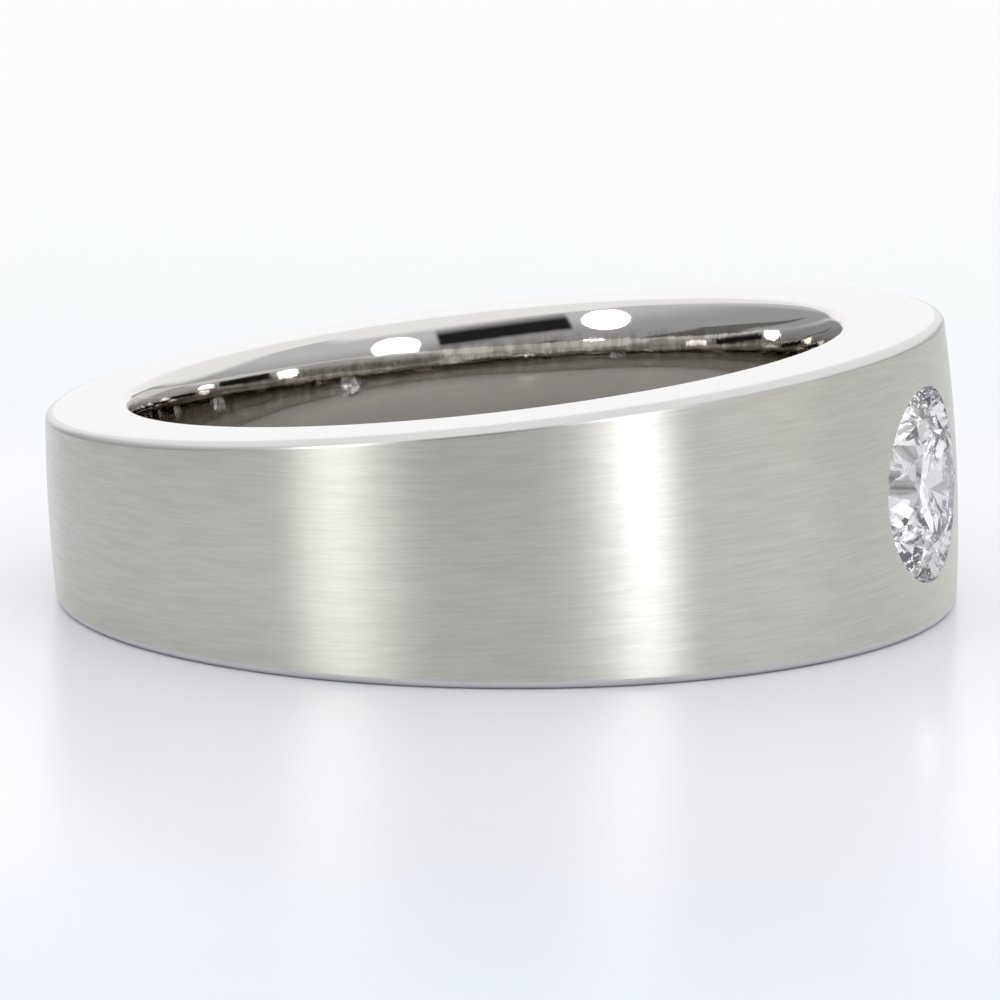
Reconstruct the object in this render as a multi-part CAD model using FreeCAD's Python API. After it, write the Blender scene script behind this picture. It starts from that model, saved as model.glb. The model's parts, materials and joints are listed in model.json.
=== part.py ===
import FreeCAD, Part
import math
import os

os.makedirs("parts", exist_ok=True)

# A tapered wedding band lying on its lower side face, with one round brilliant set
# flush in its widest part. Lengths are in millimetres and angles in degrees.
#
# The band is first built in its own frame: u points from the bore axis to the stone,
# w runs along the bore axis, and w = 0 halves the band. The whole ring is then tipped
# by half the taper, so that the lower side face lies in the plane Z = 0.

# Band
bore_radius = 9.9
head_wall = 3.33
base_wall = 2.63
head_width = 8.28
base_width = 5.13
outer_crown_radius = 45.0
outer_edge_rounding = 0.25

# Comfort fit: the ends of the bore open out in a long arc, a shoulder and a round edge
comfort_depth = 2.1
comfort_arc_radius = 10.0
comfort_start_overlap = 0.002
shoulder_depth = 0.8
shoulder_arc_radius = 4.0
inner_edge_rounding = 0.25
inner_edge_end_angle = 4.0

# Round brilliant
stone_diameter = 5.5
table_ratio = 0.55
crown_angle = 34.0
star_angle = 22.0
upper_half_angle = 40.5
pavilion_angle = 40.8
lower_half_angle = 41.96
girdle_thickness = 0.2
table_above_metal = 0.2

# Seat of the stone
seat_clearance = 0.01
lip_overlap = 0.07
lip_under_angle = 41.0
lip_flare_angle = 8.0
seat_angle = 42.5
back_hole_radius = 1.35

# Room by which blanks and cutters run past what they shape
margin = 3.0

# The outside is a circle too, larger than the bore and moved towards the stone
outer_radius = bore_radius + (head_wall + base_wall) / 2.0
outer_offset = (head_wall - base_wall) / 2.0

# Taper of the side faces, which would meet at a line beyond the base
half_taper_slope = (head_width - base_width) / (4.0 * outer_radius)
half_taper_angle = math.degrees(math.atan(half_taper_slope))
taper_apex_distance = outer_radius * (head_width + base_width) / (head_width - base_width)
middle_half_width = taper_apex_distance * half_taper_slope


def vector(x, y, z):
    return FreeCAD.Vector(x, y, z)


def revolved(outline, axis):
    """Solid made by turning a closed outline about an axis through the origin."""
    face = Part.Face(Part.Wire(outline))
    return face.revolve(vector(0, 0, 0), axis, 360)


def joined_lines(points):
    """Straight edges from each point to the next."""
    return [Part.makeLine(a, b) for a, b in zip(points[:-1], points[1:])]


def outer_blank():
    """Barrel with a slightly domed side, its axis moved towards the stone."""
    half_height = head_width / 2.0 + margin
    arc_centre = outer_radius - outer_crown_radius
    end_radius = arc_centre + math.sqrt(outer_crown_radius ** 2 - half_height ** 2)
    low = vector(end_radius, 0, -half_height)
    middle = vector(outer_radius, 0, 0)
    high = vector(end_radius, 0, half_height)
    outline = [Part.Arc(low, middle, high).toShape()]
    outline += joined_lines([high, vector(0, 0, half_height), vector(0, 0, -half_height), low])
    barrel = revolved(outline, vector(0, 0, 1))
    barrel.translate(vector(outer_offset, 0, 0))
    return barrel


def taper_wedge():
    """Block between the two inclined side faces."""
    reach = outer_radius + outer_offset + margin
    far = (taper_apex_distance + reach) * half_taper_slope
    near = (taper_apex_distance - reach) * half_taper_slope
    corners = [
        vector(-reach, -reach, -near),
        vector(reach, -reach, -far),
        vector(reach, -reach, far),
        vector(-reach, -reach, near),
    ]
    corners.append(corners[0])
    face = Part.Face(Part.makePolygon(corners))
    return face.extrude(vector(0, 2 * reach, 0))


def comfort_arcs():
    """The three tangent arcs of the bore's upper end, from the bore up to the side face.

    Each is given by its centre in radius and height, its radius, and the angles at which
    it starts and ends.
    """
    start_z = middle_half_width - comfort_depth
    long_centre_r = bore_radius - comfort_start_overlap + comfort_arc_radius
    long_end = math.asin((comfort_depth - shoulder_depth) / comfort_arc_radius)

    step = comfort_arc_radius - shoulder_arc_radius
    shoulder_centre_r = long_centre_r - step * math.cos(long_end)
    shoulder_centre_z = start_z + step * math.sin(long_end)

    edge_end = math.radians(90.0 - inner_edge_end_angle)
    edge_centre_z = middle_half_width - inner_edge_rounding * math.sin(edge_end)
    step = shoulder_arc_radius - inner_edge_rounding
    shoulder_end = math.asin((edge_centre_z - shoulder_centre_z) / step)
    edge_centre_r = shoulder_centre_r - step * math.cos(shoulder_end)
    return [
        (long_centre_r, start_z, comfort_arc_radius, 0.0, long_end),
        (shoulder_centre_r, shoulder_centre_z, shoulder_arc_radius, long_end, shoulder_end),
        (edge_centre_r, edge_centre_z, inner_edge_rounding, shoulder_end, edge_end),
    ]


def comfort_cutter():
    """Cutter that opens the upper end of the bore, parallel to the upper side face.

    It is turned about the bore axis and then sheared along it by the taper's slope,
    so that its depth below the inclined side face is the same all round.
    """
    outline = []
    for centre_r, centre_z, radius, first, last in comfort_arcs():
        points = []
        for angle in (first, (first + last) / 2, last):
            r = centre_r - radius * math.cos(angle)
            points.append(vector(r, 0, centre_z + radius * math.sin(angle)))
        outline.append(Part.Arc(*points).toShape())
        end = points[-1]
    start = vector(bore_radius - comfort_start_overlap, 0, middle_half_width - comfort_depth)
    top = middle_half_width + margin
    end_slope = math.tan(math.radians(inner_edge_end_angle))
    clear = vector(end.x + inner_edge_rounding, 0, end.z + inner_edge_rounding * end_slope)
    outline += joined_lines([
        end,
        clear,
        vector(clear.x, 0, top),
        vector(0, 0, top),
        vector(0, 0, start.z),
        start,
    ])
    cutter = revolved(outline, vector(0, 0, 1))
    shear = FreeCAD.Matrix(1, 0, 0, 0, 0, 1, 0, 0, half_taper_slope, 0, 1, 0, 0, 0, 0, 1)
    return cutter.transformGeometry(shear)


def pyramid(sides, start_angle, radius, z, angle, tall):
    """Point-up pyramid whose faces pass through the given radius at the given height."""
    slope = math.tan(math.radians(angle))
    apex = vector(0, 0, z + radius * slope)
    base_z = z - tall
    corner_radius = (radius + tall / slope) / math.cos(math.pi / sides)
    corners = []
    for i in range(sides):
        turn = math.radians(start_angle) + (2 * i + 1) * math.pi / sides
        x = corner_radius * math.cos(turn)
        y = corner_radius * math.sin(turn)
        corners.append(vector(x, y, base_z))
    ring = corners + [corners[0]]
    faces = [Part.Face(Part.makePolygon(ring))]
    for a, b in zip(ring[:-1], ring[1:]):
        faces.append(Part.Face(Part.makePolygon([a, b, apex, a])))
    return Part.Solid(Part.Shell(faces))


# Heights along the stone's own axis, measured from the top edge of its girdle
stone_radius = stone_diameter / 2.0
table_radius = table_ratio * stone_radius
crown_height = (stone_radius - table_radius) * math.tan(math.radians(crown_angle))
main_turn = math.pi / 8
half_turn = math.pi / 16
girdle_top_u = outer_offset + outer_radius + table_above_metal - crown_height
girdle_bottom_u = girdle_top_u - girdle_thickness


def brilliant():
    """Round brilliant with its table up and the top of its girdle at height zero."""
    tall = stone_diameter
    corner_in = stone_radius * math.cos(half_turn)
    table_edge = table_radius * math.cos(main_turn)

    stone = pyramid(8, 0.0, stone_radius, 0.0, crown_angle, tall)
    stars = pyramid(8, 22.5, table_edge, crown_height, star_angle, tall)
    upper_halves = pyramid(16, 11.25, corner_in, 0.0, upper_half_angle, tall)
    below_table = Part.makeCylinder(2 * tall, tall, vector(0, 0, crown_height - tall))

    mirror_base = vector(0, 0, 0)
    mirror_normal = vector(0, 0, 1)
    mains = pyramid(8, 0.0, stone_radius, girdle_thickness, pavilion_angle, tall)
    mains = mains.mirror(mirror_base, mirror_normal)
    lower_halves = pyramid(16, 11.25, corner_in, girdle_thickness, lower_half_angle, tall)
    lower_halves = lower_halves.mirror(mirror_base, mirror_normal)

    for cut in (stars, upper_halves, below_table, mains, lower_halves):
        stone = stone.common(cut)
    girdle = Part.makeCylinder(stone_radius, 2 * tall, vector(0, 0, -tall))
    return stone.common(girdle).removeSplitter()


def seat_cutter():
    """Hole for the stone, turned about the u axis: lip, pocket, cone and back hole."""
    pocket_radius = stone_radius + seat_clearance
    pocket_bottom = girdle_bottom_u - seat_clearance
    pocket_top = girdle_top_u + seat_clearance
    lip_radius = stone_radius - lip_overlap
    lip_rise = (pocket_radius - lip_radius) * math.tan(math.radians(lip_under_angle))
    lip_u = pocket_top + lip_rise
    outside_u = outer_offset + outer_radius + margin
    flare = (outside_u - lip_u) * math.tan(math.radians(lip_flare_angle))
    cone_depth = (pocket_radius - back_hole_radius) * math.tan(math.radians(seat_angle))
    inside_u = bore_radius - margin
    outline = joined_lines([
        vector(inside_u, 0, 0),
        vector(inside_u, 0, back_hole_radius),
        vector(pocket_bottom - cone_depth, 0, back_hole_radius),
        vector(pocket_bottom, 0, pocket_radius),
        vector(pocket_top, 0, pocket_radius),
        vector(lip_u, 0, lip_radius),
        vector(outside_u, 0, lip_radius + flare),
        vector(outside_u, 0, 0),
        vector(inside_u, 0, 0),
    ])
    return revolved(outline, vector(1, 0, 0))


def round_outer_edges(blank):
    """Rounds the two edges where the domed side meets the side faces."""
    edges = []
    for edge in blank.Edges:
        box = edge.BoundBox
        if box.YLength > outer_radius and edge.Closed:
            edges.append(edge)
    return blank.makeFillet(outer_edge_rounding, edges)


# Band
band = round_outer_edges(outer_blank().common(taper_wedge()))
bore_reach = head_width / 2.0 + margin
band = band.cut(Part.makeCylinder(bore_radius, 2 * bore_reach, vector(0, 0, -bore_reach)))
upper_comfort = comfort_cutter()
lower_comfort = upper_comfort.mirror(vector(0, 0, 0), vector(0, 0, 1))
band = band.cut(upper_comfort)
band = band.cut(lower_comfort)
band = band.cut(seat_cutter())

# Stone, turned from its own upright axis to the u axis, a main facet towards each side
diamond = brilliant()
diamond.rotate(vector(0, 0, 0), vector(0, 1, 0), 90)
diamond.translate(vector(girdle_top_u, 0, 0))

# Resting pose: tip by half the taper, lift onto Z = 0, and centre the ring on X = 0
lift = taper_apex_distance * math.sin(math.radians(half_taper_angle))
placed = []
for shape in (band, diamond):
    shape.rotate(vector(0, 0, 0), vector(0, 1, 0), -half_taper_angle)
    shape.translate(vector(0, 0, lift))
    placed.append(shape)
ring_box = Part.makeCompound(placed).optimalBoundingBox(False, False)
centre_shift = -(ring_box.XMin + ring_box.XMax) / 2.0

nodes = {"band": placed[0], "diamond": placed[1]}
for name, shape in nodes.items():
    shape.translate(vector(centre_shift, 0, 0))
    shape.exportStep("parts/" + name + ".step")
    box = shape.optimalBoundingBox(False, False)
    print(name, "solids", len(shape.Solids), "faces", len(shape.Faces), "valid", shape.isValid())
    print("  x", round(box.XMin, 4), round(box.XMax, 4), "y", round(box.YMin, 4), round(box.YMax, 4))
    print("  z", round(box.ZMin, 4), round(box.ZMax, 4), "volume", round(shape.Volume, 3))
print("bore axis point", round(centre_shift, 4), 0, round(lift, 4))
print("taper half angle", round(half_taper_angle, 4))
print("overlap", round(nodes["band"].common(nodes["diamond"]).Volume, 6))
print("distance", round(nodes["band"].distToShape(nodes["diamond"])[0], 5))
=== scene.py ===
import json
import math

import bmesh
import bpy
from mathutils import Matrix, Vector


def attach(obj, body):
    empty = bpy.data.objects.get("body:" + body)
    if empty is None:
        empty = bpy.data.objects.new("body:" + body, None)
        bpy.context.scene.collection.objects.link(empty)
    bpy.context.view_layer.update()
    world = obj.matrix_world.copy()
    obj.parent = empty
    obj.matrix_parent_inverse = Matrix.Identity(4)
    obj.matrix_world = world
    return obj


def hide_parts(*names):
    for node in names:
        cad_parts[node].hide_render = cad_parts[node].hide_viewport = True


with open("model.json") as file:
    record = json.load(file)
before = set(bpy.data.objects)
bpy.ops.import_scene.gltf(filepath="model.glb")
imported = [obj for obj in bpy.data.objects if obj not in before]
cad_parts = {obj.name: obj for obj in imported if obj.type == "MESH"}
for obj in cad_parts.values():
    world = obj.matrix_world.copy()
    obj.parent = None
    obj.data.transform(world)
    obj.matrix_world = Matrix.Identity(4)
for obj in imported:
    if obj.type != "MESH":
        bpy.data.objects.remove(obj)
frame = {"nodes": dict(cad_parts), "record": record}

bpy.context.view_layer.update()

MM = 0.001

# Sizes of the band in millimetres, as in the part's source. The ring's own frame has
# u from the bore's axis to the stone, v across it and w along the bore.
HEAD_WALL = 3.33
BASE_WALL = 2.63
HEAD_WIDTH = 8.28
BASE_WIDTH = 5.13
OUTER_CROWN_RADIUS = 45.0
OUTER_EDGE_ROUNDING = 0.25
COMFORT_DEPTH = 2.1
COMFORT_ARC_RADIUS = 10.0
SHOULDER_DEPTH = 0.8
SHOULDER_ARC_RADIUS = 4.0
INNER_EDGE_ROUNDING = 0.25

# Sizes of the stone and its seat
STONE_RADIUS = 2.75
TABLE_ABOVE_METAL = 0.2
CROWN_HEIGHT = 0.835
GIRDLE_THICKNESS = 0.2
SEAT_CLEARANCE = 0.01
LIP_OVERLAP = 0.07
LIP_UNDER_ANGLE = math.radians(41.0)
LIP_FLARE_ANGLE = math.radians(8.0)
SEAT_ANGLE = math.radians(42.5)
BACK_HOLE_RADIUS = 1.35
CUT_MARGIN = 1.0

bore = next(m for m in frame["record"]["mounts"] if m["name"] == "finger_bore")
BORE_RADIUS = bore["dims"]["r_mm"]
OUTER_RADIUS = BORE_RADIUS + (HEAD_WALL + BASE_WALL) / 2
OUTER_OFFSET = (HEAD_WALL - BASE_WALL) / 2
SLOPE = (HEAD_WIDTH - BASE_WIDTH) / (4 * OUTER_RADIUS)
HALF_TAPER = math.atan(SLOPE)
MIDDLE_HALF_WIDTH = (HEAD_WIDTH + BASE_WIDTH) / 4

# The ring's own frame in the part's frame: turned about Y by half the taper and placed
# on the bore's axis.
RING_PLACE = Matrix.Translation(Vector(bore["pos_m"])) @ Matrix.Rotation(-HALF_TAPER, 4, "Y")

# Steps of the meshes: round the ring, along each stretch of its outline (one count for
# each of the bore's three arcs), and round the stone's seat
STEPS_ROUND = 480
DOME_STEPS = 10
EDGE_STEPS = 8
FACE_STEPS = 6
COMFORT_STEPS = (10, 12, 10)
LAND_STEPS = 8
SEAT_STEPS = 192

# Edges that turn by more than this stay crisp.
SHARP_ANGLE = math.radians(32)


def spread(start, end, count):
    """Evenly spaced values from start to end, both included."""
    return [start + (end - start) * i / count for i in range(count + 1)]


def between(start, end, count):
    """Evenly spaced points on the line from start to end, both included."""
    return [start.lerp(end, i / count) for i in range(count + 1)]


def added(name, data):
    """A new object in the scene that holds the given mesh, camera or lamp."""
    piece = bpy.data.objects.new(name, data)
    bpy.context.scene.collection.objects.link(piece)
    return piece


# --- Band -------------------------------------------------------------------------------


def edge_rounding_centre(turn):
    """Centre of the outer edge's rounding, in radius and w, at one turn about the outside."""
    slope = SLOPE * math.cos(turn)
    level = MIDDLE_HALF_WIDTH + SLOPE * OUTER_OFFSET
    arc_radius = OUTER_CROWN_RADIUS - OUTER_EDGE_ROUNDING
    arc_centre = OUTER_RADIUS - OUTER_CROWN_RADIUS
    drop = OUTER_EDGE_ROUNDING * math.hypot(1, slope)
    radius = OUTER_RADIUS - OUTER_EDGE_ROUNDING
    # Each pass brings the centre closer to its place between the side face and the dome.
    for _ in range(6):
        w = level + slope * radius - drop
        radius = arc_centre + math.sqrt(arc_radius ** 2 - w ** 2)
    return radius, w


def outer_half(turn):
    """Points in radius and w from the middle of the outside up over its upper edge."""
    radius, w = edge_rounding_centre(turn)
    arc_centre = OUTER_RADIUS - OUTER_CROWN_RADIUS
    first = math.asin(w / (OUTER_CROWN_RADIUS - OUTER_EDGE_ROUNDING))
    last = math.atan2(1, -SLOPE * math.cos(turn))
    dome = []
    for angle in spread(0, first, DOME_STEPS):
        x = arc_centre + OUTER_CROWN_RADIUS * math.cos(angle)
        dome.append((x, OUTER_CROWN_RADIUS * math.sin(angle)))
    edge = []
    for angle in spread(first, last, EDGE_STEPS):
        x = radius + OUTER_EDGE_ROUNDING * math.cos(angle)
        edge.append((x, w + OUTER_EDGE_ROUNDING * math.sin(angle)))
    return dome, edge


def comfort_arcs():
    """Centre, radius and end angles of the three tangent arcs at the bore's upper end."""
    start_w = MIDDLE_HALF_WIDTH - COMFORT_DEPTH
    long_r = BORE_RADIUS + COMFORT_ARC_RADIUS
    long_end = math.asin((COMFORT_DEPTH - SHOULDER_DEPTH) / COMFORT_ARC_RADIUS)
    step = COMFORT_ARC_RADIUS - SHOULDER_ARC_RADIUS
    shoulder_r = long_r - step * math.cos(long_end)
    shoulder_w = start_w + step * math.sin(long_end)
    edge_w = MIDDLE_HALF_WIDTH - INNER_EDGE_ROUNDING
    step = SHOULDER_ARC_RADIUS - INNER_EDGE_ROUNDING
    shoulder_end = math.asin((edge_w - shoulder_w) / step)
    edge_r = shoulder_r - step * math.cos(shoulder_end)
    return [
        (long_r, start_w, COMFORT_ARC_RADIUS, 0, long_end),
        (shoulder_r, shoulder_w, SHOULDER_ARC_RADIUS, long_end, shoulder_end),
        (edge_r, edge_w, INNER_EDGE_ROUNDING, shoulder_end, math.pi / 2),
    ]


def comfort_profile():
    """Points in radius and w up the bore's upper end, before the shear of the taper."""
    points = [(BORE_RADIUS, MIDDLE_HALF_WIDTH - COMFORT_DEPTH)]
    for (centre_r, centre_w, radius, first, last), count in zip(comfort_arcs(), COMFORT_STEPS):
        for angle in spread(first, last, count)[1:]:
            r = centre_r - radius * math.cos(angle)
            points.append((r, centre_w + radius * math.sin(angle)))
    return points


def outer_point(turn, radius, w):
    """Point in the ring's frame from its place on the outside, which is set off centre."""
    return Vector((OUTER_OFFSET + radius * math.cos(turn), radius * math.sin(turn), w))


def bore_point(turn, radius, w):
    """Point in the ring's frame from its place in the bore, which follows the taper."""
    u = radius * math.cos(turn)
    return Vector((u, radius * math.sin(turn), w + SLOPE * u))


def mirrored(points):
    """The same points below the ring's middle plane."""
    return [Vector((p.x, p.y, -p.z)) for p in points]


def section(turn):
    """Closed outline of the band at one turn, as (zone, points) pieces in order."""
    dome, edge = outer_half(turn)
    dome_up = [outer_point(turn, *p) for p in dome]
    edge_up = [outer_point(turn, *p) for p in edge]
    bore_up = [bore_point(turn, *p) for p in comfort_profile()]
    face_up = between(edge_up[-1], bore_up[-1], FACE_STEPS)
    land = between(bore_up[0], mirrored(bore_up)[0], LAND_STEPS)
    upper = [
        ("outside", dome_up),
        ("edge", edge_up),
        ("face", face_up),
        ("bore", bore_up[::-1]),
    ]
    lower = [(zone, mirrored(points)[::-1]) for zone, points in reversed(upper)]
    return upper + [("bore", land)] + lower


ZONES = ("outside", "edge", "face", "bore", "seat")


def band_mesh():
    """Dense closed mesh of the band before its seat is cut, zones as material indices."""
    outlines = []
    zones = []
    for i in range(STEPS_ROUND):
        turn = math.pi + 2 * math.pi * i / STEPS_ROUND
        outline = []
        zones = []
        for zone, points in section(turn):
            outline += points[:-1]
            zones += [ZONES.index(zone)] * (len(points) - 1)
        outlines.append(outline)
    count = len(zones)
    vertices = [p for outline in outlines for p in outline]
    faces = []
    for i in range(STEPS_ROUND):
        a = i * count
        b = (i + 1) % STEPS_ROUND * count
        for j in range(count):
            k = (j + 1) % count
            faces.append((a + j, b + j, b + k, a + k))
    mesh = bpy.data.meshes.new("band_metal")
    mesh.from_pydata(vertices, [], faces)
    mesh.polygons.foreach_set("material_index", zones * STEPS_ROUND)
    around = mesh.uv_layers.new(name="around")
    for polygon in mesh.polygons:
        step = polygon.index // count
        for loop in polygon.loop_indices:
            vertex = mesh.loops[loop].vertex_index
            far_side = vertex // count != step
            turn = (step + far_side) / STEPS_ROUND
            around.data[loop].uv = (turn, mesh.vertices[vertex].co.z / HEAD_WIDTH + 0.5)
    mesh.transform(Matrix.Scale(MM, 4))
    mesh.update()
    return mesh


def seat_outline():
    """Half outline of the cutter of the stone's seat, in u and radius."""
    girdle_top = OUTER_OFFSET + OUTER_RADIUS + TABLE_ABOVE_METAL - CROWN_HEIGHT
    pocket_radius = STONE_RADIUS + SEAT_CLEARANCE
    pocket_bottom = girdle_top - GIRDLE_THICKNESS - SEAT_CLEARANCE
    pocket_top = girdle_top + SEAT_CLEARANCE
    lip_radius = STONE_RADIUS - LIP_OVERLAP
    lip_u = pocket_top + (pocket_radius - lip_radius) * math.tan(LIP_UNDER_ANGLE)
    outside_u = OUTER_OFFSET + OUTER_RADIUS + CUT_MARGIN
    lip_out = lip_radius + (outside_u - lip_u) * math.tan(LIP_FLARE_ANGLE)
    cone_depth = (pocket_radius - BACK_HOLE_RADIUS) * math.tan(SEAT_ANGLE)
    return [
        (BORE_RADIUS - CUT_MARGIN, BACK_HOLE_RADIUS),
        (pocket_bottom - cone_depth, BACK_HOLE_RADIUS),
        (pocket_bottom, pocket_radius),
        (pocket_top, pocket_radius),
        (lip_u, lip_radius),
        (outside_u, lip_out),
    ]


def seat_mesh():
    """Closed cutter of the stone's seat, turned about the u axis."""
    work = bmesh.new()
    rings = []
    for u, radius in seat_outline():
        ring = []
        for i in range(SEAT_STEPS):
            turn = 2 * math.pi * i / SEAT_STEPS
            spot = Vector((u, radius * math.cos(turn), radius * math.sin(turn)))
            ring.append(work.verts.new(spot * MM))
        rings.append(ring)
    for low, high in zip(rings[:-1], rings[1:]):
        for i in range(SEAT_STEPS):
            k = (i + 1) % SEAT_STEPS
            work.faces.new((low[i], low[k], high[k], high[i]))
    work.faces.new(rings[0][::-1])
    work.faces.new(rings[-1])
    bmesh.ops.recalc_face_normals(work, faces=work.faces)
    mesh = bpy.data.meshes.new("seat_cutter")
    work.to_mesh(mesh)
    work.free()
    mesh.polygons.foreach_set("material_index", [ZONES.index("seat")] * len(mesh.polygons))
    return mesh


def cut_band(materials):
    """The band with its seat cut, smooth apart from the seat's crisp edges."""
    blank = added("band_blank", band_mesh())
    cutter = added("seat_cutter", seat_mesh())
    for piece in (blank, cutter):
        for material in materials:
            piece.data.materials.append(material)
    cut = blank.modifiers.new("seat", "BOOLEAN")
    cut.operation = "DIFFERENCE"
    cut.solver = "EXACT"
    cut.object = cutter
    bpy.context.view_layer.update()
    seen = blank.evaluated_get(bpy.context.evaluated_depsgraph_get())
    mesh = bpy.data.meshes.new_from_object(seen)
    bpy.data.objects.remove(blank)
    bpy.data.objects.remove(cutter)
    mesh.transform(RING_PLACE)
    mesh.polygons.foreach_set("use_smooth", [True] * len(mesh.polygons))
    mesh.set_sharp_from_angle(angle=SHARP_ANGLE)
    band = added("band_metal", mesh)
    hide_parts("band")
    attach(band, "root")
    return band


# --- Materials --------------------------------------------------------------------------


class Nodes:
    """A node tree, with short ways to add and join nodes."""

    def __init__(self, owner):
        owner.use_nodes = True
        self.tree = owner.node_tree
        self.tree.nodes.clear()

    def add(self, kind, **settings):
        node = self.tree.nodes.new(kind)
        for key, value in settings.items():
            setattr(node, key, value)
        return node

    def link(self, source, target):
        self.tree.links.new(source, target)

    def value(self, socket, item):
        """Sets a socket to a plain value or joins it to another node's output."""
        if isinstance(item, bpy.types.NodeSocket):
            self.link(item, socket)
        else:
            socket.default_value = item

    def math(self, operation, a, b=0.0, c=0.0, clamp=False):
        node = self.add("ShaderNodeMath", operation=operation, use_clamp=clamp)
        for socket, item in zip(node.inputs, (a, b, c)):
            self.value(socket, item)
        return node.outputs[0]

    def multiply(self, first, *others):
        product = first
        for other in others:
            product = self.math("MULTIPLY", product, other)
        return product

    def smooth(self, value, low, high, out_low=0.0, out_high=1.0):
        """Smooth step of a value from low to high."""
        node = self.add("ShaderNodeMapRange", interpolation_type="SMOOTHSTEP")
        self.value(node.inputs["Value"], value)
        node.inputs["From Min"].default_value = low
        node.inputs["From Max"].default_value = high
        node.inputs["To Min"].default_value = out_low
        node.inputs["To Max"].default_value = out_high
        return node.outputs["Result"]

    def fall(self, value, low, high):
        """Smooth step down, from 1 at low to 0 at high."""
        return self.smooth(value, low, high, 1.0, 0.0)

    def blend(self, factor, a, b, kind="MIX"):
        node = self.add("ShaderNodeMix", data_type="RGBA", blend_type=kind)
        self.value(node.inputs["Factor"], factor)
        self.value(node.inputs["A"], a)
        self.value(node.inputs["B"], b)
        return node.outputs["Result"]

    def along(self, vector, axis):
        """How far a vector reaches along an axis, as their dot product."""
        node = self.add("ShaderNodeVectorMath", operation="DOT_PRODUCT")
        self.link(vector, node.inputs[0])
        node.inputs[1].default_value = axis
        return node.outputs["Value"]

    def ring_coordinates(self, scale=(1, 1, 1)):
        """Object coordinates in the ring's tilt, stretched by a factor on each axis."""
        place = self.add("ShaderNodeTexCoord")
        turn = self.add("ShaderNodeMapping", vector_type="POINT")
        turn.inputs["Rotation"].default_value = (0, HALF_TAPER, 0)
        stretch = self.add("ShaderNodeVectorMath", operation="MULTIPLY")
        stretch.inputs[1].default_value = scale
        self.link(place.outputs["Object"], turn.inputs["Vector"])
        self.link(turn.outputs["Vector"], stretch.inputs[0])
        return stretch.outputs["Vector"]

    def noise(self, density, detail=2.0, roughness=0.5):
        """Noise, its density in spots to the metre along each of the ring's axes."""
        node = self.add("ShaderNodeTexNoise")
        self.link(self.ring_coordinates(density), node.inputs["Vector"])
        node.inputs["Scale"].default_value = 1.0
        node.inputs["Detail"].default_value = detail
        node.inputs["Roughness"].default_value = roughness
        return node.outputs["Fac"]

    def bump(self, height, strength, normal=None):
        node = self.add("ShaderNodeBump")
        node.inputs["Strength"].default_value = strength
        node.inputs["Distance"].default_value = BUMP_HEIGHT
        self.link(height, node.inputs["Height"])
        if normal is not None:
            self.link(normal, node.inputs["Normal"])
        return node.outputs["Normal"]

    def surface(self):
        shader = self.add("ShaderNodeBsdfPrincipled")
        output = self.add("ShaderNodeOutputMaterial")
        self.link(shader.outputs["BSDF"], output.inputs["Surface"])
        return shader


# Fineness of each pattern, in spots to the metre along the ring's axes
FINE_LINES = (700, 700, 14000)
BROAD_LINES = (450, 450, 3500)
CLOUDS = (150, 150, 300)
WAVES = (900, 900, 900)
FACE_HAIRLINES = (500, 500, 9000)
BORE_HAIRLINES = (900, 900, 12000)
BORE_MARKS = (3600, 3600, 1700)
STONE_WEAR = (2500, 2500, 2500)
FLOOR_SPECKS = (400, 400, 400)

# Height of the lines, waves and marks in the metal at full strength, and their strengths
BUMP_HEIGHT = 0.01 * MM
LINES_STRENGTH = 0.12
WAVES_STRENGTH = 0.2
MARKS_STRENGTH = 0.25

# Shares of the fine and the broad lines in the brushing
FINE_SHARE = 0.7
BROAD_SHARE = 0.3

# How much the brushing spreads the light across the lines, and the turn of that spread as
# a share of a full turn
BRUSHED_SPREAD = 0.9
BRUSHED_SPREAD_TURN = 0.25

# Colours of the metal and the stone, each pair from the darkest to the lightest of its
# pattern. The bore has one pair at its upper rim and one deeper down, where the metal is
# painted darker and warmer as painted shade.
BRUSHED_COLOURS = ((0.575, 0.572, 0.515, 1), (0.645, 0.642, 0.58, 1))
RIM_COLOURS = ((0.68, 0.665, 0.645, 1), (0.70, 0.685, 0.665, 1))
DEEP_SHADE_COLOURS = ((0.60, 0.58, 0.54, 1), (0.65, 0.63, 0.59, 1))
MARKS_COLOUR = (0.38, 0.36, 0.33, 1)
STONE_COLOURS = ((0.97, 0.955, 1, 1), (1, 0.985, 1, 1))

# The lightest hairlines of a polished surface, as a multiple of its colour
POLISHED_LIGHTEST = 1.03

# Roughness, and how much of it comes and goes with the patterns
BRUSHED_ROUGHNESS = 0.34
BRUSHED_UNEVENNESS = 0.06
POLISHED_UNEVENNESS = 0.03
BORE_ROUGHNESS = 0.04
STONE_WORN_ROUGHNESS = 0.02

DIAMOND_IOR = 2.417

# Heights up the bore, in the slope of its upper end, between which the polishing marks
# rise, and then fade again
MARKS_RISE = (1.3 * MM, 1.9 * MM)
MARKS_FADE = (2.2 * MM, 2.65 * MM)


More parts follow.
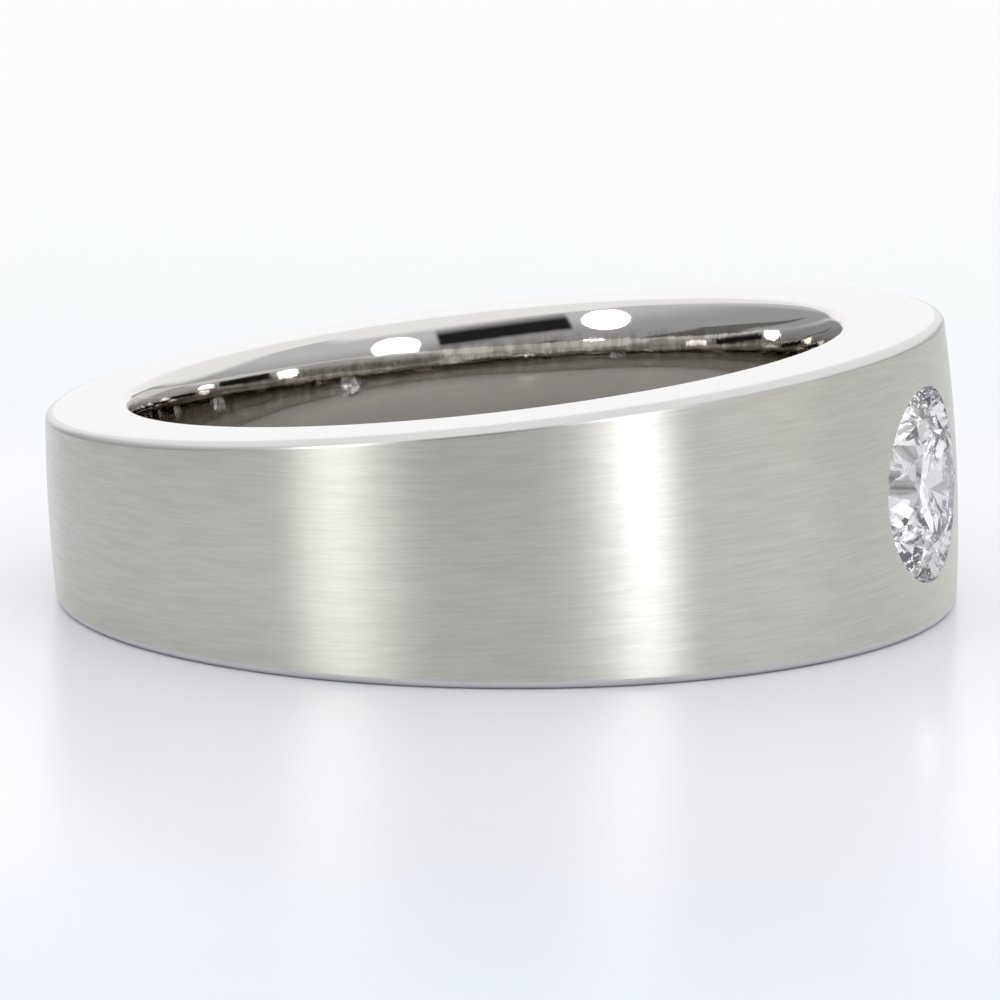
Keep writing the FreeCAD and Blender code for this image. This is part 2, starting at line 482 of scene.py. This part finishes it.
def brushed_metal():
    """White gold with fine lines brushed round the band."""
    material = bpy.data.materials.new("brushed_white_gold")
    n = Nodes(material)
    shader = n.surface()
    shader.inputs["Metallic"].default_value = 1.0
    shader.inputs["Anisotropic"].default_value = BRUSHED_SPREAD
    shader.inputs["Anisotropic Rotation"].default_value = BRUSHED_SPREAD_TURN
    tangent = n.add("ShaderNodeTangent", direction_type="UV_MAP", uv_map="around")
    n.link(tangent.outputs["Tangent"], shader.inputs["Tangent"])

    fine = n.noise(FINE_LINES, 3.0, 0.6)
    broad = n.noise(BROAD_LINES)
    cloud = n.noise(CLOUDS)
    lines = n.math("ADD", n.multiply(fine, FINE_SHARE), n.multiply(broad, BROAD_SHARE))
    tone = n.smooth(lines, 0.35, 0.65)
    n.link(n.blend(tone, *BRUSHED_COLOURS), shader.inputs["Base Color"])
    rough = n.math("MULTIPLY_ADD", cloud, BRUSHED_UNEVENNESS, BRUSHED_ROUGHNESS)
    n.link(rough, shader.inputs["Roughness"])
    n.link(n.bump(lines, LINES_STRENGTH), shader.inputs["Normal"])
    return material


def polished_metal(name, tint, roughness):
    """Polished white gold, with the faint waviness and hairlines of hand polishing."""
    material = bpy.data.materials.new(name)
    n = Nodes(material)
    shader = n.surface()
    shader.inputs["Metallic"].default_value = 1.0
    wave = n.noise(WAVES)
    hair = n.noise(FACE_HAIRLINES, 2.0, 0.6)
    light = tuple(min(1.0, c * POLISHED_LIGHTEST) for c in tint) + (1,)
    n.link(n.blend(hair, tint + (1,), light), shader.inputs["Base Color"])
    rough = n.math("MULTIPLY_ADD", hair, POLISHED_UNEVENNESS, roughness)
    n.link(rough, shader.inputs["Roughness"])
    n.link(n.bump(wave, WAVES_STRENGTH), shader.inputs["Normal"])
    return material


def bore_metal():
    """Polished white gold, slightly warm, with faint polishing marks below its upper rim and
    painted shade that darkens it deeper down.
    """
    material = bpy.data.materials.new("polished_bore")
    n = Nodes(material)
    shader = n.surface()
    shader.inputs["Metallic"].default_value = 1.0
    shader.inputs["Roughness"].default_value = BORE_ROUGHNESS

    # Height over the bore's middle, in the slope of its upper end
    centre = Matrix.Rotation(HALF_TAPER, 3, "Y") @ Vector(bore["pos_m"])
    sloped = n.along(n.ring_coordinates(), (-SLOPE, 0, 1))
    height = n.math("SUBTRACT", sloped, centre.z - SLOPE * centre.x)
    below_rim = n.fall(height, *MARKS_FADE)
    share = n.multiply(below_rim, n.smooth(height, *MARKS_RISE))

    marks = n.noise(BORE_MARKS)
    waves = n.bump(n.noise(WAVES), WAVES_STRENGTH)
    marked = n.bump(n.multiply(marks, share), MARKS_STRENGTH, waves)
    n.link(marked, shader.inputs["Normal"])
    hair = n.noise(BORE_HAIRLINES, 2.0, 0.6)
    rim = n.blend(hair, *RIM_COLOURS)
    shaded_deep = n.blend(hair, *DEEP_SHADE_COLOURS)
    # Painted shade: the metal is darker and warmer below the upper rim, deeper in the bore.
    metal = n.blend(below_rim, rim, shaded_deep)
    dull = n.multiply(share, n.smooth(marks, 0.30, 0.68))
    n.link(n.blend(dull, metal, MARKS_COLOUR), shader.inputs["Base Color"])
    return material


def diamond_material():
    """Clear stone with the high refraction of diamond and very lightly worn facets."""
    material = bpy.data.materials.new("diamond_facets")
    n = Nodes(material)
    shader = n.surface()
    shader.inputs["Transmission Weight"].default_value = 1.0
    shader.inputs["IOR"].default_value = DIAMOND_IOR
    worn = n.noise(STONE_WEAR, 3.0, 0.6)
    n.link(n.blend(worn, *STONE_COLOURS), shader.inputs["Base Color"])
    rough = n.smooth(worn, 0.6, 0.9, 0.0, STONE_WORN_ROUGHNESS)
    n.link(rough, shader.inputs["Roughness"])
    return material


# --- Object -----------------------------------------------------------------------------

# One material for each zone, in the order of ZONES
zone_materials = [
    brushed_metal(),
    polished_metal("polished_edge", (0.62, 0.62, 0.61), 0.28),
    polished_metal("polished_face", (0.67, 0.67, 0.67), 0.05),
    bore_metal(),
    polished_metal("polished_seat", (0.78, 0.78, 0.78), 0.06),
]
cut_band(zone_materials)

stone = frame["nodes"]["diamond"]
stone.data.materials.clear()
stone.data.materials.append(diamond_material())

# --- Camera -----------------------------------------------------------------------------

# The camera's place and lens. The stone lies STONE_TURN to the right of the camera's own
# direction, and the aim point falls on AIM_PIXEL, counted from the picture's top left.
STONE_TURN = math.radians(68.44)
CAMERA_ELEVATION = math.radians(11.23)
CAMERA_DISTANCE = 310.4 * MM
CAMERA_ROLL = math.radians(0.23)
CAMERA_REACH = (10 * MM, 20000 * MM)
SENSOR_WIDTH = 36
AIM_HEIGHT = 3.2 * MM
PICTURE_PIXELS = 1000
FOCAL_PIXELS = 10949
AIM_PIXEL = (490.6, 482.6)

to_camera = Vector((math.cos(STONE_TURN), -math.sin(STONE_TURN), 0))
back = to_camera * math.cos(CAMERA_ELEVATION) + Vector((0, 0, math.sin(CAMERA_ELEVATION)))
aim = Vector((bore["pos_m"][0], 0, AIM_HEIGHT))
right = Vector((0, 0, 1)).cross(back).normalized()
up = back.cross(right)
pixel_size = CAMERA_DISTANCE / FOCAL_PIXELS
middle = PICTURE_PIXELS / 2
target = aim + right * ((middle - AIM_PIXEL[0]) * pixel_size)
target -= up * ((middle - AIM_PIXEL[1]) * pixel_size)

camera_data = bpy.data.cameras.new("camera")
camera = added("camera", camera_data)
camera_data.sensor_width = SENSOR_WIDTH
camera_data.lens = FOCAL_PIXELS / PICTURE_PIXELS * SENSOR_WIDTH
camera_data.clip_start, camera_data.clip_end = CAMERA_REACH
camera.location = aim + back * CAMERA_DISTANCE
look = (camera.location - target).to_track_quat("Z", "Y").to_matrix().to_4x4()
roll = Matrix.Rotation(CAMERA_ROLL, 4, "Z")
camera.matrix_world = Matrix.Translation(camera.location) @ look @ roll
bpy.context.scene.camera = camera


def direction(turn, elevation):
    """Unit vector at an elevation, turned from the camera's own direction (degrees).

    Negative turns lie to the left in the picture."""
    level = Matrix.Rotation(math.radians(turn), 3, "Z") @ to_camera
    rise = math.radians(elevation)
    return level * math.cos(rise) + Vector((0, 0, math.sin(rise)))


# --- Floor ------------------------------------------------------------------------------

FLOOR_RADIUS = 3000 * MM
FLOOR_SEGMENTS = 96
FLOOR_ROUGHNESS = 0.22
FLOOR_GLOSS = 0.5
FLOOR_IOR = 1.3

# The floor's colours, with their distances behind the ring in millimetres. They are painted
# shade: the floor is darker and bluer near the camera, lightest round the ring and darker
# again further behind.
FLOOR_SHADE_COLOURS = [
    (-48, (0.745, 0.795, 0.87, 1)),
    (-25, (0.865, 0.87, 0.93, 1)),
    (8, (0.865, 0.875, 0.93, 1)),
    (30, (0.80, 0.83, 0.853, 1)),
    (100, (0.84, 0.86, 0.853, 1)),
]

# The floor outside the picture, which the metal mirrors, with painted shade: grey on both
# sides, and darker and without gloss at the front left, each with the distances between which
# it sets in
SIDES_SHADE_COLOUR = (0.33, 0.33, 0.32, 1)
SIDES_START = (50 * MM, 120 * MM)
CORNER_SHADE_COLOUR = (0.16, 0.16, 0.15, 1)
CORNER_START = (55 * MM, 80 * MM)

# Fine specks that darken the floor's colour very slightly
SPECK_COLOURS = ((0.995, 0.995, 0.995, 1), (1, 1, 1, 1))


def floor_material():
    """Pale floor with a faint gloss and painted shade: darker and bluer near the camera,
    darker behind the ring, and grey outside the picture.
    """
    material = bpy.data.materials.new("pale_floor")
    n = Nodes(material)
    shader = n.surface()
    place = n.add("ShaderNodeTexCoord").outputs["Object"]
    behind = n.along(place, -to_camera)
    # Painted shade: the floor's colour follows its distance behind the ring.
    pale = FLOOR_SHADE_COLOURS[0][1]
    for (start, _), (end, colour) in zip(FLOOR_SHADE_COLOURS[:-1], FLOOR_SHADE_COLOURS[1:]):
        pale = n.blend(n.smooth(behind, start * MM, end * MM), pale, colour)
    # Painted shade: grey to both sides and dark at the front left.
    aside = n.math("ABSOLUTE", n.along(place, direction(90, 0)))
    pale = n.blend(n.smooth(aside, *SIDES_START), pale, SIDES_SHADE_COLOUR)
    corner = n.smooth(n.along(place, direction(-45, 0)), *CORNER_START)
    pale = n.blend(corner, pale, CORNER_SHADE_COLOUR)
    speck = n.blend(n.noise(FLOOR_SPECKS), *SPECK_COLOURS)
    n.link(n.blend(1.0, pale, speck, "MULTIPLY"), shader.inputs["Base Color"])
    gloss = n.math("MULTIPLY_ADD", corner, -FLOOR_GLOSS, FLOOR_GLOSS)
    n.link(gloss, shader.inputs["Specular IOR Level"])
    shader.inputs["Roughness"].default_value = FLOOR_ROUGHNESS
    shader.inputs["IOR"].default_value = FLOOR_IOR
    return material


def floor():
    """Large round floor under the ring."""
    work = bmesh.new()
    bmesh.ops.create_circle(
        work, cap_ends=True, radius=FLOOR_RADIUS, segments=FLOOR_SEGMENTS
    )
    mesh = bpy.data.meshes.new("floor")
    work.to_mesh(mesh)
    work.free()
    mesh.materials.append(floor_material())
    piece = added("floor", mesh)
    return piece


# --- Light ------------------------------------------------------------------------------

LAMP_DISTANCE = 400 * MM
RIGHT_TINT = (1, 0.97, 1.06)

# Colours of the studio tent's parts, and of the backdrop that the camera sees
TENT_LOW = (0.43, 0.43, 0.44, 1)
TENT_MIDDLE = (0.68, 0.68, 0.70, 1)
TENT_WHITE = (1.12, 1.12, 1.12, 1)
TENT_DARK = (0.02, 0.02, 0.02, 1)
BACKDROP = (0.93, 0.945, 0.96, 1)


def lamp(name, turn, elevation, width, height, brightness, tint=(1, 1, 1)):
    """Oval studio lamp aimed at the ring, its place and sizes as angles from the ring."""
    data = bpy.data.lights.new(name, "AREA")
    data.shape = "ELLIPSE"
    data.size = 2 * LAMP_DISTANCE * math.tan(math.radians(width / 2))
    data.size_y = 2 * LAMP_DISTANCE * math.tan(math.radians(height / 2))
    data.color = tint
    area = math.pi * data.size * data.size_y / 4
    data.energy = brightness * math.pi * area
    piece = added(name, data)
    toward = direction(turn, elevation)
    piece.location = aim + toward * LAMP_DISTANCE
    piece.rotation_euler = toward.to_track_quat("Z", "Y").to_euler()
    return piece


def studio_world():
    """Grey tent with white and dark parts, and a pale backdrop for the camera.

    Heights are sines of the elevation, and the spread of a part round the ring is given
    by the cosine of its angle from the part's middle."""
    world = bpy.data.worlds.new("studio")
    bpy.context.scene.world = world
    n = Nodes(world)
    place = n.add("ShaderNodeTexCoord").outputs["Generated"]
    height = n.along(place, (0, 0, 1))
    flat = n.math("SUBTRACT", 1.0, n.multiply(height, height), clamp=True)
    level = n.math("MAXIMUM", n.math("SQRT", flat), 0.001)

    def toward(turn):
        """Cosine of the angle, seen from above, to a direction turned from the camera's."""
        return n.math("DIVIDE", n.along(place, direction(turn, 0)), level)

    ceiling = n.smooth(height, 0.40, 0.62)
    front_panel = n.multiply(n.smooth(toward(0), 0.55, 0.75), n.smooth(height, 0.34, 0.42))
    back_wall = n.smooth(toward(-175), 0.90, 0.95)
    slant = n.along(place, direction(140, 0) * 0.41 + Vector((0, 0, 1)))
    back_slant = n.smooth(slant, 0.49, 0.54)
    low_wall = n.multiply(n.smooth(toward(70), 0.93, 0.97), n.fall(height, 0.10, 0.14))
    low_strip = n.multiply(n.smooth(toward(-6.5), 0.94, 0.96), n.fall(height, 0.05, 0.07))
    camera_patch = n.multiply(
        n.smooth(height, 0.10, 0.165),
        n.fall(height, 0.27, 0.40),
        n.smooth(toward(-8.5), 0.919, 0.930),
    )

    tent = n.blend(n.smooth(height, 0.08, 0.31), TENT_LOW, TENT_MIDDLE)
    for part in (ceiling, front_panel, back_wall, back_slant, low_wall):
        tent = n.blend(part, tent, TENT_WHITE)
    for part in (low_strip, camera_patch):
        tent = n.blend(part, tent, TENT_DARK)

    path = n.add("ShaderNodeLightPath")
    seen = n.blend(path.outputs["Is Camera Ray"], tent, BACKDROP)
    background = n.add("ShaderNodeBackground")
    n.link(seen, background.inputs["Color"])
    output = n.add("ShaderNodeOutputWorld")
    n.link(background.outputs["Background"], output.inputs["Surface"])


floor()
lamp("lamp_left", -44.1, 12.6, 17, 16, 4.0)
lamp("lamp_right", 28.8, 12.6, 17, 16, 2.4, RIGHT_TINT)
lamp("low_lamp_left", -32.5, 1.2, 18, 2, 11)
lamp("low_lamp_right", 36, 4, 15, 5, 11.5, RIGHT_TINT)
studio_world()

scene = bpy.context.scene
scene.view_settings.view_transform = "Standard"
scene.cycles.max_bounces = 24
scene.cycles.glossy_bounces = 16
scene.cycles.transmission_bounces = 24

bpy.context.view_layer.update()
